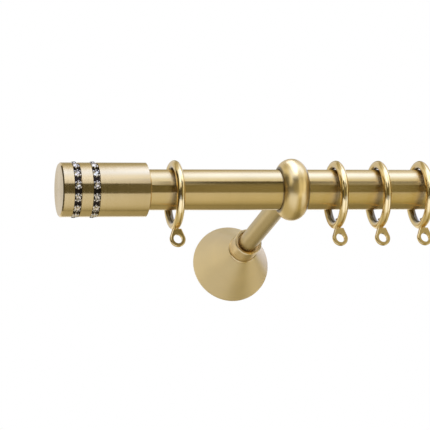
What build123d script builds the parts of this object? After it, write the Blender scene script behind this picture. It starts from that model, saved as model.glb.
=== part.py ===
"""One end of a curtain pole: tube, jewelled finial, wall bracket and four sliding rings.

Millimetres. The origin is the centre of the bracket's wall face: +X runs along the pole away from
the finial, +Y points into the wall and +Z is up.
"""

import os

from build123d import *

# Running and seating clearances
SLIP = 0.05          # radial gap of a part that slides on or turns in another
SEAT = 0.1           # gap under a head or shoulder that turns
RING_REST_GAP = 0.3  # gap between a hanging ring and the top of the pole

# Pole tube
POLE_RADIUS = 12.5
POLE_WALL = 1.0
PROJECTION = 160.0       # wall to pole axis
POLE_REACH = 91.2        # bracket centre to the inner end of the finial
POLE_OVERHANG = 35.5     # last ring to the sawn end
POLE_DEBURR = 0.3

# Finial
FINIAL_LENGTH = 54.6
FINIAL_WALL = 4.0
FINIAL_SOCKET = 26.0     # depth of the pole inside the finial
FACE_BEVEL = 0.8
TAIL_BEVEL = 1.4         # axial length of the bevel at the inner end
TAIL_RIM = 0.9           # flat rim left round the pole
BAND_FIRST = 9.2         # end face to the first row of stones
BAND_PITCH = 11.4
BAND_COUNT = 2
BAND_WIDTH = 4.6
BAND_DEPTH = 1.9

# Stones in their row of cups
STONE_COUNT = 13
STONE_PHASE = -8.0       # angle of one stone above the front line
STONE_SIDES = 8
STONE_WIDTH = 3.8        # across flats
STONE_CROWN = 0.9
STONE_GIRDLE = 0.5
CROWN_SLOPE = 42.0
STONE_PROUD = 0.55       # top of the stone above the finial
CUP_RIM = 0.2
STRIP_WIDTH = 4.2        # band that carries the cups
STRIP_HEIGHT = 0.6

# Bracket collar
COLLAR_GAP = 0.3
COLLAR_WIDTH = 16.6
COLLAR_WALL = 6.4
COLLAR_RIM = 0.7         # flat side rim next to the bore
BOSS_RADIUS = 6.5
BOSS_RISE = 0.6          # seat of the arm above the collar's crown

# Bracket arm
ARM_RADIUS = 6.3
ARM_EDGE = 0.4
SPIGOT_RADIUS = 3.0
SPIGOT_LENGTH = 5.0
SPIGOT_ROOM = 0.4        # free depth past the spigot's end

# Wall rosette
CONE_BASE_RADIUS = 26.2
CONE_RIM = 1.8
CONE_TOP_RADIUS = 9.2
CONE_HEIGHT = 34.0
CONE_WALL = 1.6
SLEEVE_LENGTH = 18.0
SLEEVE_MOUTH_WALL = 1.5
SLEEVE_MOUTH_GAP = 1.2   # open ring between arm and mouth
SLEEVE_MOUTH_DEPTH = 4.0
SLEEVE_EDGE = 0.5
BEAD_RISE = 0.8
BEAD_HEIGHT = 2.0
BEAD_UNDERCUT = 0.5

# Mounting plate and its fixings
PLATE_GAP = 1.75         # room between the plate's edge and the cone
PLATE_THICKNESS = 3.0
WALL_HOLE_PITCH = 30.0
WALL_HOLE_RADIUS = 2.25
CORE_SCREW_RADIUS = 3.0
CORE_SCREW_HEAD = 5.6
CORE_SCREW_SINK = 2.6
CORE_SCREW_GRIP = 14.0   # length inside the arm
CORE_SCREW_ROOM = 2.0
GRUB_RADIUS = 2.0
GRUB_RECESS = 0.4        # grub screws sit this far below the surface
FINIAL_GRUB_OFFSET = 8.0
SLEEVE_GRUB_OFFSET = 5.0
COLLAR_GRUB_ANGLE = 45.0  # above the line from pole to wall
HEX_SHARE = 0.55         # width of a hexagon socket over its screw's width

# Rings
RING_COUNT = 4
RING_PLAY = 7.6          # bore of a ring minus the pole's diameter
RING_TUBE = 5.1          # thickness of the round section
RING_FIRST_GAP = 14.0    # finial to the first ring
RING_SECOND_GAP = 17.6   # collar to the second ring
RING_PITCH = 27.6

# Eyelets
EYE_HOLE = 2.9
EYE_WEB = 2.1
EYE_THICKNESS = 2.2
EYE_DROP = 6.7           # foot of the ring to the centre of the hole
EYE_NECK = 5.6
EYE_ROUND = 0.8
EYE_TURN = 6.0           # how far a resting eyelet is turned about its stud
STUD_RADIUS = 1.1
STUD_HEAD_RADIUS = 1.7
STUD_HEAD_HEIGHT = 0.5

# Places that follow from the sizes above
FINIAL_TAIL = -POLE_REACH
FINIAL_FACE = FINIAL_TAIL - FINIAL_LENGTH
FINIAL_BORE = POLE_RADIUS + SLIP
FINIAL_RADIUS = FINIAL_BORE + FINIAL_WALL
POLE_START = FINIAL_TAIL - FINIAL_SOCKET
COLLAR_BORE = POLE_RADIUS + COLLAR_GAP
COLLAR_CROWN = COLLAR_BORE + COLLAR_WALL
ARM_SEAT = COLLAR_CROWN + BOSS_RISE
RING_BORE = POLE_RADIUS + RING_PLAY / 2
RING_RADIUS = RING_BORE + RING_TUBE
RING_HANG = RING_BORE - POLE_RADIUS - RING_REST_GAP
RING_TWO = COLLAR_WIDTH / 2 + RING_SECOND_GAP + RING_TUBE / 2
RING_PLACES = [FINIAL_TAIL + RING_FIRST_GAP + RING_TUBE / 2]
RING_PLACES += [RING_TWO + RING_PITCH * n for n in range(RING_COUNT - 1)]
POLE_END = RING_PLACES[-1] + POLE_OVERHANG
BAND_PLACES = [FINIAL_FACE + BAND_FIRST + BAND_PITCH * n for n in range(BAND_COUNT)]
BAND_FLOOR = FINIAL_RADIUS - BAND_DEPTH
STONE_FOOT = FINIAL_RADIUS + STONE_PROUD - STONE_CROWN - STONE_GIRDLE
CUP_WIDTH = STONE_WIDTH + 2 * SLIP + 2 * CUP_RIM
CONE_SLOPE = (CONE_BASE_RADIUS - CONE_TOP_RADIUS) / (CONE_HEIGHT - CONE_RIM)
CONE_INNER_BASE = CONE_BASE_RADIUS - CONE_WALL * (1 + CONE_SLOPE ** 2) ** 0.5
PLATE_RADIUS = CONE_INNER_BASE - CONE_SLOPE * (PLATE_THICKNESS - CONE_RIM) - PLATE_GAP
SLEEVE_BORE = ARM_RADIUS + SLIP
SLEEVE_MOUTH = ARM_RADIUS + SLEEVE_MOUTH_GAP
SLEEVE_RADIUS = SLEEVE_MOUTH + SLEEVE_MOUTH_WALL

ON_POLE = Pos(0, -PROJECTION, 0)


def turned_along_x(*points):
    """A solid of revolution about X from (along, radius) corners."""
    return revolve(make_face(Polyline(*points, close=True)), Axis.X, 360)


def turned_along_y(*points):
    """A solid of revolution about Y from (radius, distance from the wall) corners."""
    corners = [(radius, -distance) for radius, distance in points]
    return revolve(make_face(Polyline(*corners, close=True)), Axis.Y, 360)


def radial(along, angle, radius=0.0):
    """A place on the pole's axis with local Z pointing out, at an angle above the front line."""
    return Pos(along, 0, 0) * Rot(90 - angle, 0, 0) * Pos(0, 0, radius)


def grub_screw(length):
    """A headless screw along Z with a hexagon socket in its upper end at Z = 0."""
    body = Pos(0, 0, -length / 2) * Cylinder(GRUB_RADIUS, length)
    socket = extrude(RegularPolygon(GRUB_RADIUS * HEX_SHARE, 6), -length / 2)
    return body - socket


def pole_tube():
    """The straight tube, sawn and deburred at its free end."""
    inner = POLE_RADIUS - POLE_WALL
    return turned_along_x(
        (POLE_START, inner),
        (POLE_START, POLE_RADIUS),
        (POLE_END - POLE_DEBURR, POLE_RADIUS),
        (POLE_END, POLE_RADIUS - POLE_DEBURR),
        (POLE_END, inner + POLE_DEBURR),
        (POLE_END - POLE_DEBURR, inner),
    )


def finial_grub_place():
    """Where the finial's grub screw enters, on the wall side."""
    return radial(FINIAL_TAIL - FINIAL_GRUB_OFFSET, 180, FINIAL_RADIUS - GRUB_RECESS)


def finial_body():
    """The turned knob: flat face, two grooves for the stones and a blind socket for the pole."""
    rim = FINIAL_BORE + TAIL_RIM
    outline = [(FINIAL_FACE, 0), (FINIAL_FACE, FINIAL_RADIUS - FACE_BEVEL)]
    outline.append((FINIAL_FACE + FACE_BEVEL, FINIAL_RADIUS))
    for place in BAND_PLACES:
        left = place - BAND_WIDTH / 2
        right = place + BAND_WIDTH / 2
        outline += [(left, FINIAL_RADIUS), (left, BAND_FLOOR)]
        outline += [(right, BAND_FLOOR), (right, FINIAL_RADIUS)]
    outline += [(FINIAL_TAIL - TAIL_BEVEL, FINIAL_RADIUS), (FINIAL_TAIL, rim)]
    outline += [(FINIAL_TAIL, FINIAL_BORE), (POLE_START, FINIAL_BORE), (POLE_START, 0)]
    hole = Cylinder(GRUB_RADIUS + SLIP, 2 * FINIAL_WALL)
    return turned_along_x(*outline) - finial_grub_place() * hole


def finial_grub_screw():
    """The screw that holds the finial on the pole."""
    return finial_grub_place() * grub_screw(FINIAL_WALL - GRUB_RECESS)


def stone_angles():
    return [STONE_PHASE + 360 / STONE_COUNT * n for n in range(STONE_COUNT)]


def stone_polygon(width):
    """A polygon of the given width with flats towards the groove's walls."""
    return RegularPolygon(width / 2, STONE_SIDES, major_radius=False, rotation=180 / STONE_SIDES)


def stone():
    """A cut stone along Z: table, sloping crown and girdle, with the girdle's foot at Z = 0."""
    girdle = extrude(stone_polygon(STONE_WIDTH), STONE_GIRDLE)
    crown = extrude(stone_polygon(STONE_WIDTH), STONE_CROWN, taper=CROWN_SLOPE)
    return girdle + Pos(0, 0, STONE_GIRDLE) * crown


def stones(place):
    """One row of stones round the finial."""
    return [radial(place, angle, STONE_FOOT) * stone() for angle in stone_angles()]


def cup_chain(place):
    """The row's cups on the strip that carries them, lying on the groove's floor."""
    floor = BAND_FLOOR + SLIP
    half = STRIP_WIDTH / 2
    strip = turned_along_x(
        (place - half, floor),
        (place - half, floor + STRIP_HEIGHT),
        (place + half, floor + STRIP_HEIGHT),
        (place + half, floor),
    )
    foot = floor + STRIP_HEIGHT / 2
    cup = extrude(stone_polygon(CUP_WIDTH), STONE_FOOT + STONE_GIRDLE - foot)
    pocket = extrude(stone_polygon(STONE_WIDTH + 2 * SLIP), 2 * STONE_GIRDLE)
    chain = strip.fuse(*[radial(place, angle, foot) * cup for angle in stone_angles()])
    return chain.cut(*[radial(place, angle, STONE_FOOT) * pocket for angle in stone_angles()])


def collar_grub_place():
    """Where the collar's grub screw enters, above the arm on the wall side."""
    return radial(0, 180 - COLLAR_GRUB_ANGLE, COLLAR_CROWN - GRUB_RECESS)


def bracket_collar():
    """The rounded collar round the pole, with a boss that seats the arm."""
    half = COLLAR_WIDTH / 2
    rim = COLLAR_BORE + COLLAR_RIM
    dome = ThreePointArc((-half, rim), (0, COLLAR_CROWN), (half, rim))
    base = Polyline((half, rim), (half, COLLAR_BORE), (-half, COLLAR_BORE), (-half, rim))
    ring = revolve(make_face(dome.edges() + base.edges()), Axis.X, 360)
    depth = ARM_SEAT - COLLAR_BORE - COLLAR_WALL / 2
    boss = radial(0, 180, ARM_SEAT - depth / 2) * Cylinder(BOSS_RADIUS, depth)
    hole_depth = SPIGOT_LENGTH + SPIGOT_ROOM
    spigot_hole = radial(0, 180, ARM_SEAT - hole_depth / 2) * Cylinder(SPIGOT_RADIUS + SLIP, hole_depth)
    grub_hole = collar_grub_place() * Cylinder(GRUB_RADIUS + SLIP, 2 * COLLAR_WALL)
    return ring + boss - spigot_hole - grub_hole


def collar_grub_screw():
    """The screw that clamps the pole in the collar."""
    return collar_grub_place() * grub_screw(COLLAR_WALL + COLLAR_GAP - GRUB_RECESS - SLIP)


def bracket_arm():
    """The round bar from the mounting plate to the collar, tapped at the wall end."""
    tip = PROJECTION - ARM_SEAT
    tap = CORE_SCREW_RADIUS + SLIP
    tap_end = PLATE_THICKNESS + CORE_SCREW_GRIP + CORE_SCREW_ROOM
    return turned_along_y(
        (tap, PLATE_THICKNESS),
        (ARM_RADIUS, PLATE_THICKNESS),
        (ARM_RADIUS, tip - ARM_EDGE),
        (ARM_RADIUS - ARM_EDGE, tip),
        (SPIGOT_RADIUS, tip),
        (SPIGOT_RADIUS, tip + SPIGOT_LENGTH),
        (0, tip + SPIGOT_LENGTH),
        (0, tap_end),
        (tap, tap_end),
    )


def rosette_cone():
    """The hollow cone that covers the mounting plate, open at the wall."""
    ceiling = CONE_HEIGHT - CONE_WALL
    inner_top = CONE_INNER_BASE - CONE_SLOPE * (ceiling - CONE_RIM)
    return turned_along_y(
        (CONE_INNER_BASE, 0),
        (CONE_BASE_RADIUS, 0),
        (CONE_BASE_RADIUS, CONE_RIM),
        (CONE_TOP_RADIUS, CONE_HEIGHT),
        (SLEEVE_BORE, CONE_HEIGHT),
        (SLEEVE_BORE, ceiling),
        (inner_top, ceiling),
        (CONE_INNER_BASE, CONE_RIM),
    )


def sleeve_grub_place():
    """Where the sleeve's grub screw enters, on the upper side."""
    along = CONE_HEIGHT + SLEEVE_GRUB_OFFSET
    return Pos(0, -along, SLEEVE_RADIUS - GRUB_RECESS)


def rosette_sleeve():
    """The neck sleeve that presses the cone to the wall, with a bead at its foot."""
    foot = CONE_HEIGHT
    mouth = CONE_HEIGHT + SLEEVE_LENGTH
    bead = SLEEVE_RADIUS + BEAD_RISE
    bead_foot = foot + BEAD_UNDERCUT
    bead_top = bead_foot + BEAD_HEIGHT
    body = turned_along_y(
        (SLEEVE_BORE, foot),
        (SLEEVE_RADIUS - BEAD_UNDERCUT, foot),
        (SLEEVE_RADIUS - BEAD_UNDERCUT, bead_foot),
        (bead - BEAD_UNDERCUT, bead_foot),
        (bead, bead_foot + BEAD_UNDERCUT),
        (bead, bead_top - BEAD_UNDERCUT),
        (bead - BEAD_UNDERCUT, bead_top),
        (SLEEVE_RADIUS, bead_top),
        (SLEEVE_RADIUS, mouth - SLEEVE_EDGE),
        (SLEEVE_RADIUS - SLEEVE_EDGE, mouth),
        (SLEEVE_MOUTH, mouth),
        (SLEEVE_MOUTH, mouth - SLEEVE_MOUTH_DEPTH),
        (SLEEVE_BORE, mouth - SLEEVE_MOUTH_DEPTH),
    )
    hole = Cylinder(GRUB_RADIUS + SLIP, 2 * (SLEEVE_RADIUS - ARM_RADIUS))
    return body - sleeve_grub_place() * hole


def sleeve_grub_screw():
    """The screw that locks the sleeve on the arm."""
    return sleeve_grub_place() * grub_screw(SLEEVE_RADIUS - GRUB_RECESS - SLEEVE_BORE)


def mounting_plate():
    """The disc screwed to the wall, with two holes and a countersunk seat for the arm's screw."""
    core = CORE_SCREW_RADIUS + SLIP
    disc = turned_along_y(
        (CORE_SCREW_HEAD + SLIP, 0),
        (PLATE_RADIUS, 0),
        (PLATE_RADIUS, PLATE_THICKNESS),
        (core, PLATE_THICKNESS),
        (core, CORE_SCREW_SINK),
    )
    drill = Rot(90, 0, 0) * Cylinder(WALL_HOLE_RADIUS, 4 * PLATE_THICKNESS)
    for side in (-1, 1):
        disc -= Pos(0, 0, side * WALL_HOLE_PITCH / 2) * drill
    return disc


def plate_screw():
    """The countersunk screw from the back of the plate into the arm."""
    tip = PLATE_THICKNESS + CORE_SCREW_GRIP
    body = turned_along_y(
        (0, 0),
        (CORE_SCREW_HEAD, 0),
        (CORE_SCREW_RADIUS, CORE_SCREW_SINK),
        (CORE_SCREW_RADIUS, tip),
        (0, tip),
    )
    socket = extrude(Plane.XZ * RegularPolygon(CORE_SCREW_RADIUS * HEX_SHARE, 6), CORE_SCREW_SINK)
    return body - socket


def ring(place):
    """A ring of round section, hanging on the pole and bored for its eyelet."""
    middle = RING_BORE + RING_TUBE / 2
    hoop = Rot(0, 90, 0) * Torus(middle, RING_TUBE / 2)
    hole = Pos(0, 0, -middle) * Cylinder(STUD_RADIUS + SLIP, 2 * RING_TUBE)
    return Pos(place, 0, -RING_HANG) * (hoop - hole)


def ring_eyelet(place):
    """A drop-shaped eye on a stud that turns in the ring, headed over inside it."""
    eye_top = EYE_DROP - SEAT
    neck = Polyline((-EYE_NECK / 2, eye_top), (EYE_NECK / 2, eye_top))
    drop = make_hull(neck.edges() + Circle(EYE_HOLE + EYE_WEB).edges())
    plate = Pos(0, EYE_THICKNESS / 2, 0) * extrude(Plane.XZ * drop, EYE_THICKNESS)
    plate = fillet(plate.faces().filter_by(Axis.Y).edges(), EYE_ROUND)
    plate -= Rot(90, 0, 0) * Cylinder(EYE_HOLE, 2 * EYE_THICKNESS)
    head_seat = EYE_DROP + RING_TUBE + SEAT + STUD_HEAD_RADIUS ** 2 / (2 * RING_BORE)
    stud_outline = Polyline(
        (0, eye_top - EYE_WEB),
        (STUD_RADIUS, eye_top - EYE_WEB),
        (STUD_RADIUS, head_seat),
        (STUD_HEAD_RADIUS, head_seat),
        (STUD_HEAD_RADIUS, head_seat + STUD_HEAD_HEIGHT),
        (0, head_seat + STUD_HEAD_HEIGHT),
        close=True,
    )
    stud = revolve(make_face(stud_outline), Axis.Y, 360)
    eye = plate + Rot(90, 0, 0) * stud
    return Pos(place, 0, -RING_HANG - RING_RADIUS - EYE_DROP) * Rot(0, 0, EYE_TURN) * eye


def on_pole(solids):
    """Move a solid, or each of a list, from the pole's own axis to its place before the wall."""
    if isinstance(solids, list):
        return Compound(children=[ON_POLE * solid for solid in solids])
    return ON_POLE * solids


def build():
    """Every piece of the pole by its name."""
    pieces = {
        "pole_tube": on_pole(pole_tube()),
        "finial_body": on_pole(finial_body()),
        "finial_grub_screw": on_pole(finial_grub_screw()),
        "bracket_collar": on_pole(bracket_collar()),
        "collar_grub_screw": on_pole(collar_grub_screw()),
        "bracket_arm": bracket_arm(),
        "rosette_cone": rosette_cone(),
        "rosette_sleeve": rosette_sleeve(),
        "sleeve_grub_screw": sleeve_grub_screw(),
        "mounting_plate": mounting_plate(),
        "plate_screw": plate_screw(),
    }
    for number, place in enumerate(BAND_PLACES, 1):
        pieces[f"cup_chain_{number}"] = on_pole(cup_chain(place))
        pieces[f"stones_{number}"] = on_pole(stones(place))
    for number, place in enumerate(RING_PLACES, 1):
        pieces[f"ring_{number}"] = on_pole(ring(place))
        pieces[f"ring_eyelet_{number}"] = on_pole(ring_eyelet(place))
    return pieces


os.makedirs("parts", exist_ok=True)
for name, shape in build().items():
    export_step(shape, f"parts/{name}.step")
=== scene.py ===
"""Looks of a brass curtain pole: cut stones in their cups, lathe-turned finishes and the studio."""

import math

import bpy
from mathutils import Matrix


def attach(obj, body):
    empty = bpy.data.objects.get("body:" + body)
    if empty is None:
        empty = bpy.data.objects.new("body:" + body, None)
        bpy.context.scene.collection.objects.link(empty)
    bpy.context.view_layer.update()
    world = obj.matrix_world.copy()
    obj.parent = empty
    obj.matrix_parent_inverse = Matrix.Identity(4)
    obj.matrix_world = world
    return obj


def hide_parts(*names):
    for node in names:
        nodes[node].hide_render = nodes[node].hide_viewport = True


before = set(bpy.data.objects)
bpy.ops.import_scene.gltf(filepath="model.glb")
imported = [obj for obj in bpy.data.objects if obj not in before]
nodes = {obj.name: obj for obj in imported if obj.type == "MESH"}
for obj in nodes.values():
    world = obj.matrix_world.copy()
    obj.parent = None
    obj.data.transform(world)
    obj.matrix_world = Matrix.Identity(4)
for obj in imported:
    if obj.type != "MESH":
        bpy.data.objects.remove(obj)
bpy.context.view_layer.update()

MM = 0.001
POLE_BODY = "pole_and_bracket"
RING_NUMBERS = range(1, 5)

# Sizes shared with the solids, in metres
POLE_AXIS_Y = -160.0 * MM
FINIAL_RADIUS = 16.55 * MM
BAND_PLACES = (-136.6 * MM, -125.2 * MM)
BAND_DEPTH = 1.9 * MM
BAND_WIDTH = 4.6 * MM
STONE_COUNT = 13
STONE_PHASE = -8.0
STONE_FOOT = 15.7 * MM
RING_DROP = -3.5 * MM
RING_MIDDLE = 18.85 * MM
RING_TUBE = 5.1 * MM
EYE_HEIGHT = -31.6 * MM
COLLAR_HALF = 8.3 * MM

# Cut stone
STONE_SIDES = 16
STONE_RADIUS = 2.14 * MM
GIRDLE_HEIGHT = 0.42 * MM
KITE_HEIGHT = 0.52 * MM
KITE_SHARE = 0.80
STAR_HEIGHT = 0.44 * MM
STAR_SHARE = 0.70
POINT_DEPTH = 0.45 * MM
STONE_TWIST = 0.7  # turn from one stone to the next, in radians

# Cup, claws and the band that carries them
CUP_SIDES = 24
CUP_RADIUS = 2.26 * MM
CUP_WALL = 0.11 * MM
CUP_DEPTH = 0.85 * MM
CUP_FLOOR_SHARE = 0.6
CLAW_TURNS = (45, 90, 135, 225, 270, 315)
CLAW_WIDTH = 1.2 * MM
CLAW_DEPTH = 0.42 * MM
CLAW_REACH = 2.38 * MM
CLAW_BENDS = ((-0.10 * MM, 0.22 * MM), (-0.26 * MM, 0.20 * MM))  # inwards and up
CLAW_TIP_SHARE = 0.7
CLAW_BEVEL = 0.14 * MM
CLAW_BEVEL_STEPS = 2
BAND_SIDES = 156
BAND_SIDE_GAP = 0.2 * MM
BAND_FLOOR_GAP = 0.05 * MM
BAND_THICKNESS = 0.55 * MM
BAND_SMOOTH_ANGLE = 30

# Tests and tolerances on a mesh
WELD_DISTANCE = 0.001 * MM
FOOT_HEIGHT = 0.01 * MM
FACING_UP = 0.9
TABLE_FACING = 0.98
BACK_FACING = -0.3

# Camera, from the photograph's view
CAMERA_PLACE = (-365.80 * MM, -1358.52 * MM, -406.95 * MM)
CAMERA_YAW = 14.760
CAMERA_PITCH = 17.495
CAMERA_ROLL = -4.729
CAMERA_LENS = 177.93
CAMERA_SENSOR = 36.0
CAMERA_NEAR = 0.01
CAMERA_FAR = 50


def fresh_start():
    """Object mode with nothing selected."""
    if bpy.context.object and bpy.context.object.mode != "OBJECT":
        bpy.ops.object.mode_set(mode="OBJECT")
    bpy.ops.object.select_all(action="DESELECT")


def pick_faces(piece, wanted):
    """Edit mode with only the faces that pass a test on their centre and normal selected."""
    bpy.ops.object.mode_set(mode="OBJECT")
    mesh = piece.data
    for part in (mesh.vertices, mesh.edges, mesh.polygons):
        part.foreach_set("select", [False] * len(part))
    for face in mesh.polygons:
        face.select = wanted(face.center, face.normal)
    bpy.context.tool_settings.mesh_select_mode = (False, False, True)
    bpy.ops.object.mode_set(mode="EDIT")


def clean_mesh(piece):
    """Merges doubled points and turns every face outwards."""
    pick_faces(piece, lambda centre, normal: True)
    bpy.ops.mesh.remove_doubles(threshold=WELD_DISTANCE)
    bpy.ops.mesh.normals_make_consistent(inside=False)
    bpy.ops.object.mode_set(mode="OBJECT")


def settle(piece):
    """Puts a piece's place into its mesh, so that its object sits at the origin."""
    fresh_start()
    piece.select_set(True)
    bpy.context.view_layer.objects.active = piece
    bpy.ops.object.transform_apply(location=True, rotation=True, scale=True)


def copy_to(model, place, name):
    """A copy of a model with its own mesh, moved to a place."""
    mesh = model.data.copy()
    mesh.transform(place)
    twin = bpy.data.objects.new(name, mesh)
    bpy.context.scene.collection.objects.link(twin)
    return twin


def join_pieces(pieces, name):
    """One piece from several."""
    fresh_start()
    for piece in pieces:
        piece.select_set(True)
    bpy.context.view_layer.objects.active = pieces[0]
    bpy.ops.object.join()
    joined = bpy.context.object
    joined.name = name
    joined.data.name = name
    return joined


def remove(piece):
    """Takes away a model once its copies are made."""
    bpy.data.objects.remove(piece, do_unlink=True)


def round_pole(along, angle, radius):
    """A place beside the pole with local Z pointing out, at an angle above the front line."""
    turn = Matrix.Rotation(math.radians(90 - angle), 4, "X")
    return Matrix.Translation((along, POLE_AXIS_Y, 0)) @ turn @ Matrix.Translation((0, 0, radius))


def stone_angles():
    """The places of a row's stones, in degrees above the front line."""
    return [STONE_PHASE + 360 / STONE_COUNT * n for n in range(STONE_COUNT)]


# Stones and cups


def raise_face(height, share, turn):
    """Extrudes the picked face up Z, narrows it and turns it about the stone's axis."""
    bpy.ops.mesh.extrude_region_move(TRANSFORM_OT_translate={"value": (0, 0, height)})
    bpy.ops.transform.resize(value=(share, share, 1), center_override=(0, 0, 0))
    if turn:
        bpy.ops.transform.rotate(value=turn, orient_axis="Z", center_override=(0, 0, 0))


def model_stone():
    """A cut stone up Z: point, girdle, two rows of crown facets set against each other, and table."""
    half_side = math.pi / STONE_SIDES
    fresh_start()
    bpy.ops.mesh.primitive_circle_add(vertices=STONE_SIDES, radius=STONE_RADIUS, fill_type="NGON")
    stone = bpy.context.object
    bpy.ops.object.mode_set(mode="EDIT")
    bpy.ops.mesh.select_all(action="SELECT")
    raise_face(GIRDLE_HEIGHT, 1.0, 0)
    raise_face(KITE_HEIGHT, KITE_SHARE, half_side)
    raise_face(STAR_HEIGHT, STAR_SHARE, half_side)
    pick_faces(stone, lambda centre, normal: abs(centre.z) < FOOT_HEIGHT)
    bpy.ops.mesh.extrude_region_move(TRANSFORM_OT_translate={"value": (0, 0, -POINT_DEPTH)})
    bpy.ops.mesh.merge(type="COLLAPSE")
    pick_faces(stone, lambda centre, normal: centre.z > GIRDLE_HEIGHT and normal.z < TABLE_FACING)
    bpy.ops.mesh.quads_convert_to_tris(quad_method="SHORTEST_DIAGONAL")
    clean_mesh(stone)
    return stone


def model_cup():
    """A round cup up Z, open above, with its rim at the stone's girdle."""
    fresh_start()
    bpy.ops.mesh.primitive_cylinder_add(
        vertices=CUP_SIDES, radius=CUP_RADIUS, depth=CUP_DEPTH + GIRDLE_HEIGHT,
        location=(0, 0, (GIRDLE_HEIGHT - CUP_DEPTH) / 2))
    cup = bpy.context.object
    settle(cup)
    pick_faces(cup, lambda centre, normal: normal.z > FACING_UP)
    bpy.ops.mesh.inset(thickness=CUP_WALL)
    bpy.ops.mesh.extrude_region_move(
        TRANSFORM_OT_translate={"value": (0, 0, -GIRDLE_HEIGHT - CUP_DEPTH / 2)})
    bpy.ops.transform.resize(value=(CUP_FLOOR_SHARE, CUP_FLOOR_SHARE, 1), center_override=(0, 0, 0))
    clean_mesh(cup)
    return cup


def model_claw():
    """One claw of a cup on the +X side: an upright bar bent in over the stone's crown."""
    height = CUP_DEPTH + GIRDLE_HEIGHT
    fresh_start()
    bpy.ops.mesh.primitive_cube_add(size=1, location=(CLAW_REACH, 0, GIRDLE_HEIGHT - height / 2))
    claw = bpy.context.object
    claw.scale = (CLAW_DEPTH, CLAW_WIDTH, height)
    settle(claw)
    pick_faces(claw, lambda centre, normal: normal.z > FACING_UP)
    for inwards, up in CLAW_BENDS:
        bpy.ops.mesh.extrude_region_move(TRANSFORM_OT_translate={"value": (inwards, 0, up)})
    bpy.ops.transform.resize(value=(1, CLAW_TIP_SHARE, 1), center_override=(CLAW_REACH, 0, 0))
    bpy.ops.object.mode_set(mode="OBJECT")
    rounding = claw.modifiers.new("rounding", "BEVEL")
    rounding.width = CLAW_BEVEL
    rounding.segments = CLAW_BEVEL_STEPS
    bpy.ops.object.modifier_apply(modifier=rounding.name)
    clean_mesh(claw)
    return claw


def model_band(along):
    """The dark strip round the groove's floor that carries a row of cups."""
    inner = FINIAL_RADIUS - BAND_DEPTH + BAND_FLOOR_GAP
    fresh_start()
    bpy.ops.mesh.primitive_cylinder_add(
        vertices=BAND_SIDES, radius=inner, depth=BAND_WIDTH - 2 * BAND_SIDE_GAP,
        end_fill_type="NOTHING", location=(along, POLE_AXIS_Y, 0), rotation=(0, math.pi / 2, 0))
    band = bpy.context.object
    settle(band)
    wall = band.modifiers.new("wall", "SOLIDIFY")
    wall.thickness = BAND_THICKNESS
    wall.offset = 1
    bpy.ops.object.modifier_apply(modifier=wall.name)
    clean_mesh(band)
    bpy.ops.object.shade_smooth_by_angle(angle=math.radians(BAND_SMOOTH_ANGLE))
    return band


def set_stones():
    """Both rows of stones with their cups and claws, in place of the plain ones."""
    stone, cup, claw = model_stone(), model_cup(), model_claw()
    rows = []
    for row, along in enumerate(BAND_PLACES, 1):
        stones, cups, claws = [], [model_band(along)], []
        for n, angle in enumerate(stone_angles()):
            seat = round_pole(along, angle, STONE_FOOT)
            twist = Matrix.Rotation(STONE_TWIST * n, 4, "Z")
            stones.append(copy_to(stone, seat @ twist, f"stone_{row}_{n}"))
            cups.append(copy_to(cup, seat, f"cup_{row}_{n}"))
            for turn in CLAW_TURNS:
                way = Matrix.Rotation(math.radians(turn), 4, "Z")
                claws.append(copy_to(claw, seat @ way, f"claw_{row}_{n}_{turn}"))
        row_of_stones = join_pieces(stones, f"cut_stones_{row}")
        row_of_cups = join_pieces(cups, f"stone_cups_{row}")
        row_of_claws = join_pieces(claws, f"stone_claws_{row}")
        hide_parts(f"stones_{row}")
        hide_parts(f"cup_chain_{row}")
        rows.append((row_of_stones, row_of_cups, row_of_claws))
        for piece in rows[-1]:
            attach(piece, POLE_BODY)
    for model in (stone, cup, claw):
        remove(model)
    return rows


# Finishes: tones, and the lines and places that the lathe turned round
SATIN = (0.80, 0.595, 0.265)
GOLDEN = (0.80, 0.58, 0.225)
DEEP = (0.6192, 0.4558, 0.1763)
KHAKI = (0.80, 0.625, 0.315)
ZINC = (0.62, 0.62, 0.60)
FOIL = (1.0, 0.89, 0.64)
BLACKENED = (0.038, 0.028, 0.020)
BRIGHT = (0.97, 0.87, 0.66)
GLASS_TONES = ((0.97, 0.94, 0.88), (1.0, 0.91, 0.80))
POLE_LINE = (0, POLE_AXIS_Y, 0)
RING_LINE = (0, POLE_AXIS_Y, RING_DROP)
WALL_LINE = (0, 0, 0)
EYE_LINE = (0, 0, EYE_HEIGHT)

# How far a noise value ranges, and how far a tone and a roughness follow it
NOISE_RANGE = (0.3, 0.7)
BRASS_TONE_SHARES = (0.93, 1.05)
GRAINY_TONE_SHARES = (0.85, 1.12)
GRAINY_ROUGHNESS_SHARES = (0.75, 1.3)

# Lathe lines, their slow drift, and the satin grain over them
LINE_SCALE = 1500.0
LINE_HEIGHT = 0.02 * MM
LINE_DETAIL = 4.0
LINE_ROUGHNESS = 0.65
DRIFT_SCALE = 45.0
DRIFT_REACH = 0.4 * MM
DRIFT_SHARE = 0.55
GRAIN_SCALE = 2600.0
GRAIN_DETAIL = 2.0
GRAIN_SHARE = 0.3
QUARTER_TURN = 0.25

# Lacquer and glass
LACQUER_IOR = 1.7
LACQUER_ROUGHNESS = 0.12
GLASS_IOR = 1.62
GLASS_ROUGHNESS = 0.01
CAST_SCALE = 160.0
CAST_DETAIL = 1.0

# Plated and blackened grain
PIT_STRENGTH = 0.3
PIT_DETAIL = 3.0
PATCH_SIZE = 12
PATCH_DETAIL = 2.0

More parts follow.
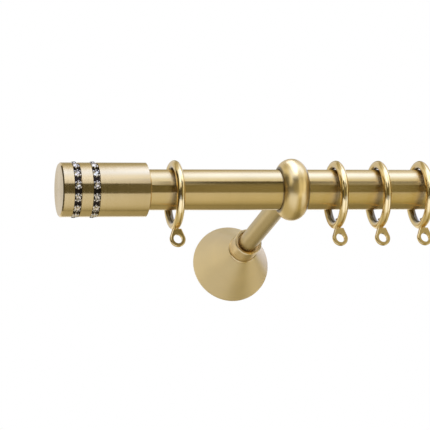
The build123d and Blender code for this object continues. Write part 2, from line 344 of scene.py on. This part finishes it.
# Painted shade in a ring's bore and in a collar's seams, by shares of the ring's section and the collar's
# half
BORE_SHADE = 0.20
BORE_START = 0.12
BORE_END = 0.42
SEAM_SHADE = 0.22
RIGHT_SEAM = (0.66, 0.90)
LEFT_SEAM = (-0.90, -1.0)


def new_finish(name):
    """An empty material with its node tree."""
    material = bpy.data.materials.new(name)
    material.use_nodes = True
    material.node_tree.nodes.clear()
    return material, material.node_tree


def add(tree, kind, inputs=None, **settings):
    """A node with its settings and inputs. An input that is a socket is linked."""
    node = tree.nodes.new(kind)
    for key, value in settings.items():
        setattr(node, key, value)
    for key, value in (inputs or {}).items():
        if isinstance(value, bpy.types.NodeSocket):
            tree.links.new(value, node.inputs[key])
        else:
            node.inputs[key].default_value = value
    return node


def surface(tree, shader, kind="ShaderNodeOutputMaterial"):
    """Ends a node tree with a shader's first output."""
    out = add(tree, kind)
    tree.links.new(shader.outputs[0], out.inputs["Surface"])


def spread(tree, value, low, high):
    """A noise value stretched over a range."""
    node = add(tree, "ShaderNodeMapRange", {
        "Value": value,
        "From Min": NOISE_RANGE[0],
        "From Max": NOISE_RANGE[1],
        "To Min": low,
        "To Max": high,
    })
    return node.outputs["Result"]


def blend_tones(tree, share, dark, light):
    """A colour between two tones."""
    node = add(tree, "ShaderNodeMix", {"Factor": share}, data_type="RGBA")
    ends = [socket for socket in node.inputs if socket.type == "RGBA"]
    for socket, tone in zip(ends, (dark, light)):
        socket.default_value = (*tone, 1)
    return [socket for socket in node.outputs if socket.type == "RGBA"][0]


def scaled(tone, share):
    """A tone made darker or lighter."""
    return tuple(share * channel for channel in tone)


def lathe_lines(tree, axis, centre, scale):
    """Fine lines round an axis, on the sides and on the end faces of a turned piece."""
    place = add(tree, "ShaderNodeTexCoord").outputs["Object"]
    middle = add(tree, "ShaderNodeMapping", {"Vector": place, "Location": tuple(-c for c in centre)})
    split = add(tree, "ShaderNodeSeparateXYZ", {"Vector": middle.outputs["Vector"]})
    along = split.outputs[axis]
    across = [split.outputs[letter] for letter in "XYZ" if letter != axis]
    flat = add(tree, "ShaderNodeCombineXYZ", {"X": across[0], "Y": across[1]})
    radius = add(tree, "ShaderNodeVectorMath", {0: flat.outputs["Vector"]}, operation="LENGTH")
    drift = add(tree, "ShaderNodeTexNoise", {"Vector": middle.outputs["Vector"], "Scale": DRIFT_SCALE})
    turned = add(tree, "ShaderNodeCombineXYZ", {"X": along, "Y": radius.outputs["Value"]})
    slow = add(tree, "ShaderNodeVectorMath", {0: drift.outputs["Color"], "Scale": DRIFT_REACH},
               operation="SCALE")
    moved = add(tree, "ShaderNodeVectorMath",
                {0: turned.outputs["Vector"], 1: slow.outputs["Vector"]}, operation="ADD")
    lines = add(tree, "ShaderNodeTexNoise", {
        "Vector": moved.outputs["Vector"],
        "Scale": scale,
        "Detail": LINE_DETAIL,
        "Roughness": LINE_ROUGHNESS,
    }, noise_dimensions="2D")
    return lines.outputs["Fac"], drift.outputs["Fac"], middle.outputs["Vector"]


def shade_off(tree, value, bright, dark, shade):
    """One at the bright place, falling softly to a shade at the dark place."""
    fall = add(tree, "ShaderNodeMapRange", {
        "Value": value,
        "From Min": bright,
        "From Max": dark,
        "To Min": 1.0,
        "To Max": shade,
    }, interpolation_type="SMOOTHSTEP")
    return fall.outputs["Result"]


def painted_bore_shade(tree, middle):
    """Painted shade on the side of a ring's section that faces the pole."""
    split = add(tree, "ShaderNodeSeparateXYZ", {"Vector": middle})
    flat = add(tree, "ShaderNodeCombineXYZ", {"X": split.outputs["Y"], "Y": split.outputs["Z"]})
    radius = add(tree, "ShaderNodeVectorMath", {0: flat.outputs["Vector"]}, operation="LENGTH")
    return shade_off(tree, radius.outputs["Value"], RING_MIDDLE - BORE_START * RING_TUBE,
                     RING_MIDDLE - BORE_END * RING_TUBE, BORE_SHADE)


def painted_seam_shade(tree, middle):
    """Painted shade and a painted dark reflection in the seams at a collar's two ends, wider on the
    right.
    """
    along = add(tree, "ShaderNodeSeparateXYZ", {"Vector": middle}).outputs["X"]
    right, left = [
        shade_off(tree, along, bright * COLLAR_HALF, dark * COLLAR_HALF, SEAM_SHADE)
        for bright, dark in (RIGHT_SEAM, LEFT_SEAM)]
    return add(tree, "ShaderNodeMath", {0: left, 1: right}, operation="MULTIPLY").outputs[0]


def turned_brass(name, axis, centre, tone, roughness, line_strength, rough_spread=0.05, stretch=0.0,
                 coat=0.15, shade=None):
    """Lacquered brass off the lathe: fine lines that stretch a reflection along the axis, a satin
    grain and a slow change of tone."""
    material, tree = new_finish(name)
    lines, drift, middle = lathe_lines(tree, axis, centre, LINE_SCALE)
    grain = add(tree, "ShaderNodeTexNoise", {
        "Vector": middle,
        "Scale": GRAIN_SCALE,
        "Detail": GRAIN_DETAIL,
    })
    height = add(tree, "ShaderNodeMix", {"Factor": GRAIN_SHARE, "A": lines, "B": grain.outputs["Fac"]})
    bump = add(tree, "ShaderNodeBump", {
        "Strength": line_strength,
        "Distance": LINE_HEIGHT,
        "Height": height.outputs[0],
    })
    mottle = add(tree, "ShaderNodeMix", {"Factor": DRIFT_SHARE, "A": lines, "B": drift})
    tones = [scaled(tone, share) for share in BRASS_TONE_SHARES]
    colour = blend_tones(tree, spread(tree, mottle.outputs[0], 0.0, 1.0), *tones)
    # Painted shade where a mask is given: the colour is darkened over the mask.
    if shade:
        shaded = add(tree, "ShaderNodeVectorMath", {0: colour, "Scale": shade(tree, middle)},
                     operation="SCALE")
        colour = shaded.outputs["Vector"]
    axis_way = tuple(float(letter == axis) for letter in "XYZ")
    round_way = add(tree, "ShaderNodeVectorMath", {0: axis_way, 1: middle}, operation="CROSS_PRODUCT")
    shader = add(tree, "ShaderNodeBsdfPrincipled", {
        "Base Color": colour,
        "Metallic": 1.0,
        "Roughness": spread(tree, lines, roughness - rough_spread, roughness + rough_spread),
        "Normal": bump.outputs["Normal"],
        "Anisotropic": stretch,
        "Anisotropic Rotation": QUARTER_TURN,
        "Tangent": round_way.outputs["Vector"],
        "Coat Weight": coat,
        "Coat Roughness": LACQUER_ROUGHNESS,
        "Coat IOR": LACQUER_IOR,
    })
    surface(tree, shader)
    return material


def grainy_metal(name, tone, roughness, scale, pits=0.01 * MM, metallic=1.0):
    """A metal with a fine even grain, for plated and blackened pieces."""
    material, tree = new_finish(name)
    place = add(tree, "ShaderNodeTexCoord").outputs["Object"]
    grain = add(tree, "ShaderNodeTexNoise", {"Vector": place, "Scale": scale, "Detail": PIT_DETAIL})
    patch = add(tree, "ShaderNodeTexNoise", {
        "Vector": place,
        "Scale": scale / PATCH_SIZE,
        "Detail": PATCH_DETAIL,
    })
    bump = add(tree, "ShaderNodeBump", {
        "Strength": PIT_STRENGTH,
        "Distance": pits,
        "Height": grain.outputs["Fac"],
    })
    tones = [scaled(tone, share) for share in GRAINY_TONE_SHARES]
    roughnesses = [roughness * share for share in GRAINY_ROUGHNESS_SHARES]
    shader = add(tree, "ShaderNodeBsdfPrincipled", {
        "Base Color": blend_tones(tree, spread(tree, patch.outputs["Fac"], 0.0, 1.0), *tones),
        "Metallic": metallic,
        "Roughness": spread(tree, grain.outputs["Fac"], *roughnesses),
        "Normal": bump.outputs["Normal"],
    })
    surface(tree, shader)
    return material


def cut_glass(name):
    """Clear lead glass, each stone with a slightly different cast."""
    material, tree = new_finish(name)
    place = add(tree, "ShaderNodeTexCoord").outputs["Object"]
    cast = add(tree, "ShaderNodeTexNoise", {"Vector": place, "Scale": CAST_SCALE, "Detail": CAST_DETAIL})
    shader = add(tree, "ShaderNodeBsdfPrincipled", {
        "Base Color": blend_tones(tree, spread(tree, cast.outputs["Fac"], 0.0, 1.0), *GLASS_TONES),
        "Roughness": GLASS_ROUGHNESS,
        "IOR": GLASS_IOR,
        "Transmission Weight": 1.0,
    })
    surface(tree, shader)
    return material


def paint(piece, material):
    """One finish over a whole piece."""
    piece.data.materials.clear()
    piece.data.materials.append(material)


def finish_metal():
    """The finish of every carried-over piece."""
    finishes = {
        "pole_tube": turned_brass("pole_satin_brass", "X", POLE_LINE, GOLDEN, roughness=0.20,
                                  line_strength=0.03, rough_spread=0.02, stretch=1.0),
        "finial_body": turned_brass("finial_brushed_brass", "X", POLE_LINE, SATIN, roughness=0.19,
                                    line_strength=0.2, stretch=0.8),
        # The collar's seams carry painted shade and a painted dark reflection.
        "bracket_collar": turned_brass("collar_polished_brass", "X", POLE_LINE, GOLDEN, roughness=0.31,
                                       line_strength=0.02, rough_spread=0.02, coat=0.05,
                                       shade=painted_seam_shade),
        "bracket_arm": turned_brass("arm_matt_brass", "Y", WALL_LINE, DEEP, roughness=0.40,
                                    line_strength=0.2),
        "rosette_cone": turned_brass("rosette_brushed_brass", "Y", WALL_LINE, KHAKI, roughness=0.52,
                                     line_strength=0.3),
        "rosette_sleeve": turned_brass("sleeve_satin_brass", "Y", WALL_LINE, SATIN, roughness=0.30,
                                       line_strength=0.2),
    }
    # The ring's bore carries painted shade.
    ring = turned_brass("ring_polished_brass", "X", RING_LINE, GOLDEN, roughness=0.16,
                        line_strength=0.06, coat=0.05, shade=painted_bore_shade)
    eyelet = turned_brass("eyelet_polished_brass", "Y", EYE_LINE, GOLDEN, roughness=0.16,
                          line_strength=0.05)
    steel = grainy_metal("zinc_plated_steel", ZINC, roughness=0.3, scale=900.0)
    for name, node in nodes.items():
        if name in finishes:
            paint(node, finishes[name])
        elif name.startswith("ring_eyelet"):
            paint(node, eyelet)
        elif name.startswith("ring_"):
            paint(node, ring)
        elif name.endswith("_screw") or name == "mounting_plate":
            paint(node, steel)


def finish_stones(rows):
    """Glass on the stones with a foil behind, dark cups and bright claws."""
    glass = cut_glass("clear_cut_glass")
    foil = grainy_metal("silver_foil", FOIL, roughness=0.12, scale=1500.0, pits=0.002 * MM, metallic=0.75)
    dark = grainy_metal("blackened_cups", BLACKENED, roughness=0.38, scale=1400.0)
    bright = grainy_metal("bright_claws", BRIGHT, roughness=0.3, scale=1400.0, metallic=0.8)
    for stones, cups, claws in rows:
        paint(stones, glass)
        stones.data.materials.append(foil)
        for face in stones.data.polygons:
            outward = face.center.copy()
            outward.x = 0
            outward.y -= POLE_AXIS_Y
            face.material_index = int(face.normal.dot(outward.normalized()) < BACK_FACING)
        paint(cups, dark)
        paint(claws, bright)
        claws.data.polygons.foreach_set("use_smooth", [True] * len(claws.data.polygons))


# Studio: cards bent round the pole's line for its reflections. Each has a radius, a span along the
# pole, and light levels by height: degrees above the front line, level, and a tint where one is set.
SAIL_RADIUS = 1.6
FLOOR_SAIL_RADIUS = 0.9
FLAG_RADIUS = 1.58
NEAR_FLAG_RADIUS = 0.11
CARD_SIDES = 360
CARDS = {
    "finial_top_sail": (SAIL_RADIUS, (-1.3, 0.27), (
        (8, 0.92, 0.3), (19, 1.18, 0.4), (28, 1.34, 0.48), (38, 1.25, 0.6), (48, 1.23),
        (58, 1.20, 0.85), (69, 1.08, 0.65), (81, 0.88), (95, 0.64), (113, 0.46), (122, 0.42))),
    "rod_top_sail": (SAIL_RADIUS, (0.27, 0.46), (
        (8, 0.66), (34, 0.61), (46, 0.84), (60, 1.32, 1.2), (68, 1.7, 1.2), (76, 1.95, 1.2),
        (84, 1.95, 1.2), (94, 1.5), (105, 0.95))),
    "rod_right_top_sail": (SAIL_RADIUS, (0.46, 1.9), (
        (8, 0.60), (34, 0.56), (46, 0.84), (60, 1.22), (68, 1.45), (76, 1.55), (84, 1.5),
        (94, 1.1), (105, 0.75))),
    "finial_back_sail": (SAIL_RADIUS, (0.08, 0.27), ((122, 0.42), (140, 0.38), (168, 0.44))),
    "back_sail": (SAIL_RADIUS, (0.27, 0.66), ((105, 0.95), (118, 0.60), (130, 0.46), (168, 0.44))),
    "back_left_sail": (SAIL_RADIUS, (-5.0, 0.08), ((122, 0.78), (140, 0.75), (175, 0.70))),
    "back_right_sail": (SAIL_RADIUS, (0.66, 2.6), ((105, 0.70), (140, 0.90), (168, 1.10))),
    "floor_left_sail": (FLOOR_SAIL_RADIUS, (-1.6, 0.0), (
        (-170, 0.56), (-108, 0.60), (-85, 0.90), (-34, 1.05))),
    "floor_sail": (FLOOR_SAIL_RADIUS, (0.0, 0.135), (
        (-170, 0.40), (-124, 0.40), (-118, 0.22), (-113, 0.24), (-109, 0.42), (-94, 0.54),
        (-82, 0.58), (-60, 0.62), (-34, 0.62))),
    "floor_middle_sail": (FLOOR_SAIL_RADIUS, (0.135, 0.225), (
        (-170, 0.27), (-140, 0.28), (-119, 0.33), (-110, 0.38), (-102, 0.50), (-95, 0.58),
        (-81, 0.70), (-55, 0.70), (-44, 0.63), (-34, 0.50))),
    "floor_right_sail": (FLOOR_SAIL_RADIUS, (0.225, 0.6), (
        (-170, 0.25), (-119, 0.25), (-111, 0.27), (-103, 0.35), (-95, 0.40, -1.8),
        (-81, 0.45, -1.8), (-55, 0.48, -1.8), (-44, 0.45, -1.6), (-34, 0.39))),
    "floor_end_sail": (FLOOR_SAIL_RADIUS, (0.6, 2.4), (
        (-170, 0.62), (-108, 0.60), (-85, 0.90), (-34, 1.05))),
    "finial_flag": (SAIL_RADIUS, (-4.0, 0.29), ((-34, 0.07), (8, 0.055))),
    "rod_flag": (FLAG_RADIUS, (0.29, 0.84), (
        (-34, 0.28), (-2, 0.27), (14, 0.19), (20, 0.05), (31, 0.03))),
    "rod_end_flag": (FLAG_RADIUS, (0.84, 1.5), (
        (-34, 0.24), (-2, 0.23), (12, 0.18), (20, 0.23), (30, 0.25))),
    "near_flag": (NEAR_FLAG_RADIUS, (-0.066, 0.016), (
        (-34, 0.26), (-4, 0.25), (10, 0.18), (16, 0.05), (27, 0.03))),
}

# A card's tint goes with its level: cool (above 0) where it is bright, warm (below 0) where it is dark
NEUTRAL_LEVEL = 0.7
COOL_SPAN = 0.7
WARM_SPAN = 0.35
COOL_SHIFT = (-0.10, 0.13, 1.20)
WARM_SHIFT = (0.0, -0.08, -0.40)

# Lamps for some pieces only: heights in degrees, span along the pole in metres, light level and tint
LAMP_DISTANCE = 0.8
COLLAR_LAMPS = {
    "collar_top_lamp": ((42, 120), (-0.22, 0.18), 1.6, 1.0),
    "collar_front_lamp": ((-70, 35), (0.06, 0.62), 0.60, 0.0),
    "collar_side_lamp": ((-60, 20), (0.62, 2.0), 0.20, 0.0),
}
RING_LAMPS = {
    "ring_top_lamp": ((23, 75), (-0.35, 1.35), 0.7, 1.0),
    "ring_front_lamp": ((-80, -22), (-1.0, 1.7), 0.40, 1.2),
}
EYELET_LAMPS = {"eyelet_front_lamp": ((-2, 37), (-0.15, 0.85), 0.25, 0.0)}
ROSETTE_LAMPS = {"rosette_side_lamp": ((-70, 20), (0.2, 1.6), 2.2, -1.7)}
ARM_LAMPS = {"arm_side_lamp": ((-70, 10), (0.3, 1.6), 2.0, -1.0)}

# Floor and world
FLOOR_SIZE = 14
FLOOR_HEIGHT = -0.95
FLOOR_TONE = (0.86, 0.85, 0.83, 1)
FLOOR_ROUGHNESS = 0.9
WHITE = (1, 1, 1, 1)
SEEN_STRENGTH = 1.0
UNSEEN_STRENGTH = 0.80


def level_tint(level):
    """The tint that goes with a light level."""
    above = level - NEUTRAL_LEVEL
    return min(above / COOL_SPAN, 1.0) if above > 0 else max(above / WARM_SPAN, -1.0)


def tinted_light(level, tint=None):
    """The colour of a light with its level in it."""
    if tint is None:
        tint = level_tint(level)
    cool, warm = max(tint, 0.0), max(-tint, 0.0)
    return tuple(level * (1 + cool * more + warm * less)
                 for more, less in zip(COOL_SHIFT, WARM_SHIFT))


def graded_glow(name, levels):
    """The light of a card that changes with the height above the front line, in degrees."""
    material, tree = new_finish(name)
    low, high = levels[0][0], levels[-1][0]
    place = add(tree, "ShaderNodeTexCoord").outputs["Object"]
    split = add(tree, "ShaderNodeSeparateXYZ", {"Vector": place})
    front = add(tree, "ShaderNodeMath", {0: POLE_AXIS_Y, 1: split.outputs["Y"]}, operation="SUBTRACT")
    height = add(tree, "ShaderNodeMath", {0: split.outputs["Z"], 1: front.outputs[0]},
                 operation="ARCTAN2")
    share = add(tree, "ShaderNodeMapRange", {
        "Value": height.outputs[0],
        "From Min": math.radians(low),
        "From Max": math.radians(high),
    })
    ramp = add(tree, "ShaderNodeValToRGB", {"Fac": share.outputs["Result"]})
    stops = ramp.color_ramp.elements
    stops[1].position = 1.0
    for degrees, *_ in levels[1:-1]:
        stops.new((degrees - low) / (high - low))
    lights = [tinted_light(*light) for _, *light in levels]
    brightest = max(max(light) for light in lights)
    for stop, light in zip(stops, lights):
        stop.color = (*scaled(light, 1 / brightest), 1)
    glow = add(tree, "ShaderNodeEmission", {"Color": ramp.outputs["Color"], "Strength": brightest})
    surface(tree, glow)
    return material


def for_reflections(card):
    """A card that metal and glass see, and the camera and matt surfaces don't."""
    card.visible_camera = False
    card.visible_diffuse = False
    card.visible_shadow = False


def arched_card(name, radius, span, levels):
    """A card bent round the pole's line, graded over the heights that it covers."""
    start, end = span
    low, high = levels[0][0], levels[-1][0]
    fresh_start()
    bpy.ops.mesh.primitive_cylinder_add(
        vertices=CARD_SIDES, radius=radius, depth=end - start, end_fill_type="NOTHING",
        location=((start + end) / 2, POLE_AXIS_Y, 0), rotation=(0, math.pi / 2, 0))
    card = bpy.context.object
    card.name = name
    settle(card)

    def outside(centre, normal):
        height = math.degrees(math.atan2(centre.z, POLE_AXIS_Y - centre.y))
        return not low <= height <= high

    pick_faces(card, outside)
    bpy.ops.mesh.delete(type="FACE")
    bpy.ops.object.mode_set(mode="OBJECT")
    paint(card, graded_glow(name + "_light", levels))
    for_reflections(card)


def side_flag(name, place, width, height, level):
    """An upright dark card beside the pole, facing along it."""
    fresh_start()
    bpy.ops.mesh.primitive_plane_add(size=1, location=place, rotation=(0, math.pi / 2, 0))
    card = bpy.context.object
    card.name = name
    card.scale = (height, width, 1)
    settle(card)
    paint(card, graded_glow(name + "_light", ((-180, level), (180, level))))
    for_reflections(card)


def lay_floor():
    """The pale floor below the pole."""
    fresh_start()
    bpy.ops.mesh.primitive_plane_add(size=FLOOR_SIZE, location=(0, 0, FLOOR_HEIGHT))
    floor = bpy.context.object
    floor.name = "studio_floor"
    settle(floor)
    material, tree = new_finish("pale_floor")
    shader = add(tree, "ShaderNodeBsdfPrincipled", {
        "Base Color": FLOOR_TONE,
        "Roughness": FLOOR_ROUGHNESS,
    })
    surface(tree, shader)
    paint(floor, material)


def light_world():
    """White where the camera, metal and glass look, and a little dimmer for the rest."""
    world = bpy.data.worlds.new("studio_white")
    bpy.context.scene.world = world
    world.use_nodes = True
    tree = world.node_tree
    tree.nodes.clear()
    path = add(tree, "ShaderNodeLightPath").outputs
    mirrored = add(tree, "ShaderNodeMath", {0: path["Is Camera Ray"], 1: path["Is Glossy Ray"]},
                   operation="MAXIMUM")
    seen = add(tree, "ShaderNodeMath", {0: mirrored.outputs[0], 1: path["Is Transmission Ray"]},
               operation="MAXIMUM")
    strength = add(tree, "ShaderNodeMapRange", {
        "Value": seen.outputs[0],
        "To Min": UNSEEN_STRENGTH,
        "To Max": SEEN_STRENGTH,
    })
    sky = add(tree, "ShaderNodeBackground", {"Color": WHITE, "Strength": strength.outputs["Result"]})
    surface(tree, sky, "ShaderNodeOutputWorld")


def hang_softbox(name, height, distance, width, depth, brightness):
    """A soft lamp aimed at the pole's line from a height above the front, in degrees."""
    rise = math.radians(height)
    lamp = bpy.data.lights.new(name, "AREA")
    lamp.shape = "RECTANGLE"
    lamp.size = width
    lamp.size_y = depth
    lamp.energy = brightness * math.pi * width * depth
    box = bpy.data.objects.new(name, lamp)
    bpy.context.scene.collection.objects.link(box)
    place = Matrix.Translation((0, POLE_AXIS_Y - distance * math.cos(rise), distance * math.sin(rise)))
    box.matrix_world = place @ Matrix.Rotation(math.pi / 2 - rise, 4, "X")
    return box


def hang_lamps(lamps, pieces):
    """Lamps round the pole's line that light only some pieces."""
    group = bpy.data.collections.new("lit_pieces")
    for piece in pieces:
        group.objects.link(piece)
    for name, ((low, high), (start, end), level, tint) in lamps.items():
        depth = 2 * LAMP_DISTANCE * math.tan(math.radians(high - low) / 2)
        box = hang_softbox(name, (low + high) / 2, LAMP_DISTANCE, end - start, depth, level)
        box.location.x = (start + end) / 2
        box.data.color = tinted_light(1.0, tint)
        box.visible_camera = False
        box.light_linking.receiver_collection = group


def set_camera():
    """The camera at the photograph's viewing angle."""
    eye = bpy.data.cameras.new("photo_camera")
    eye.lens = CAMERA_LENS
    eye.sensor_width = CAMERA_SENSOR
    eye.sensor_fit = "HORIZONTAL"
    eye.clip_start = CAMERA_NEAR
    eye.clip_end = CAMERA_FAR
    camera = bpy.data.objects.new("photo_camera", eye)
    bpy.context.scene.collection.objects.link(camera)
    yaw = Matrix.Rotation(math.radians(-CAMERA_YAW), 4, "Z")
    pitch = Matrix.Rotation(math.radians(90 + CAMERA_PITCH), 4, "X")
    roll = Matrix.Rotation(math.radians(CAMERA_ROLL), 4, "Z")
    camera.matrix_world = Matrix.Translation(CAMERA_PLACE) @ yaw @ pitch @ roll
    bpy.context.scene.camera = camera


def build_studio():
    """Floor, white world, reflection cards and lamps."""
    lay_floor()
    light_world()
    softbox = hang_softbox("top_softbox", height=66, distance=1.9, width=1.9, depth=1.1, brightness=1.2)
    softbox.visible_glossy = False
    for name, (radius, span, levels) in CARDS.items():
        arched_card(name, radius, span, levels)
    hang_lamps(COLLAR_LAMPS, [nodes["bracket_collar"]])
    hang_lamps(RING_LAMPS, [nodes[f"ring_{n}"] for n in RING_NUMBERS])
    hang_lamps(EYELET_LAMPS, [nodes[f"ring_eyelet_{n}"] for n in RING_NUMBERS])
    hang_lamps(ROSETTE_LAMPS, [nodes["rosette_cone"]])
    hang_lamps(ARM_LAMPS, [nodes["bracket_arm"]])
    side_flag("left_flag", place=(-0.22, -0.18, 0.045), width=0.20, height=0.25, level=0.06)
    side_flag("right_flag", place=(1.9, 0.4, 0.1), width=2.4, height=1.6, level=0.2)


finish_metal()
finish_stones(set_stones())
build_studio()
set_camera()
bpy.context.scene.view_settings.view_transform = "Standard"
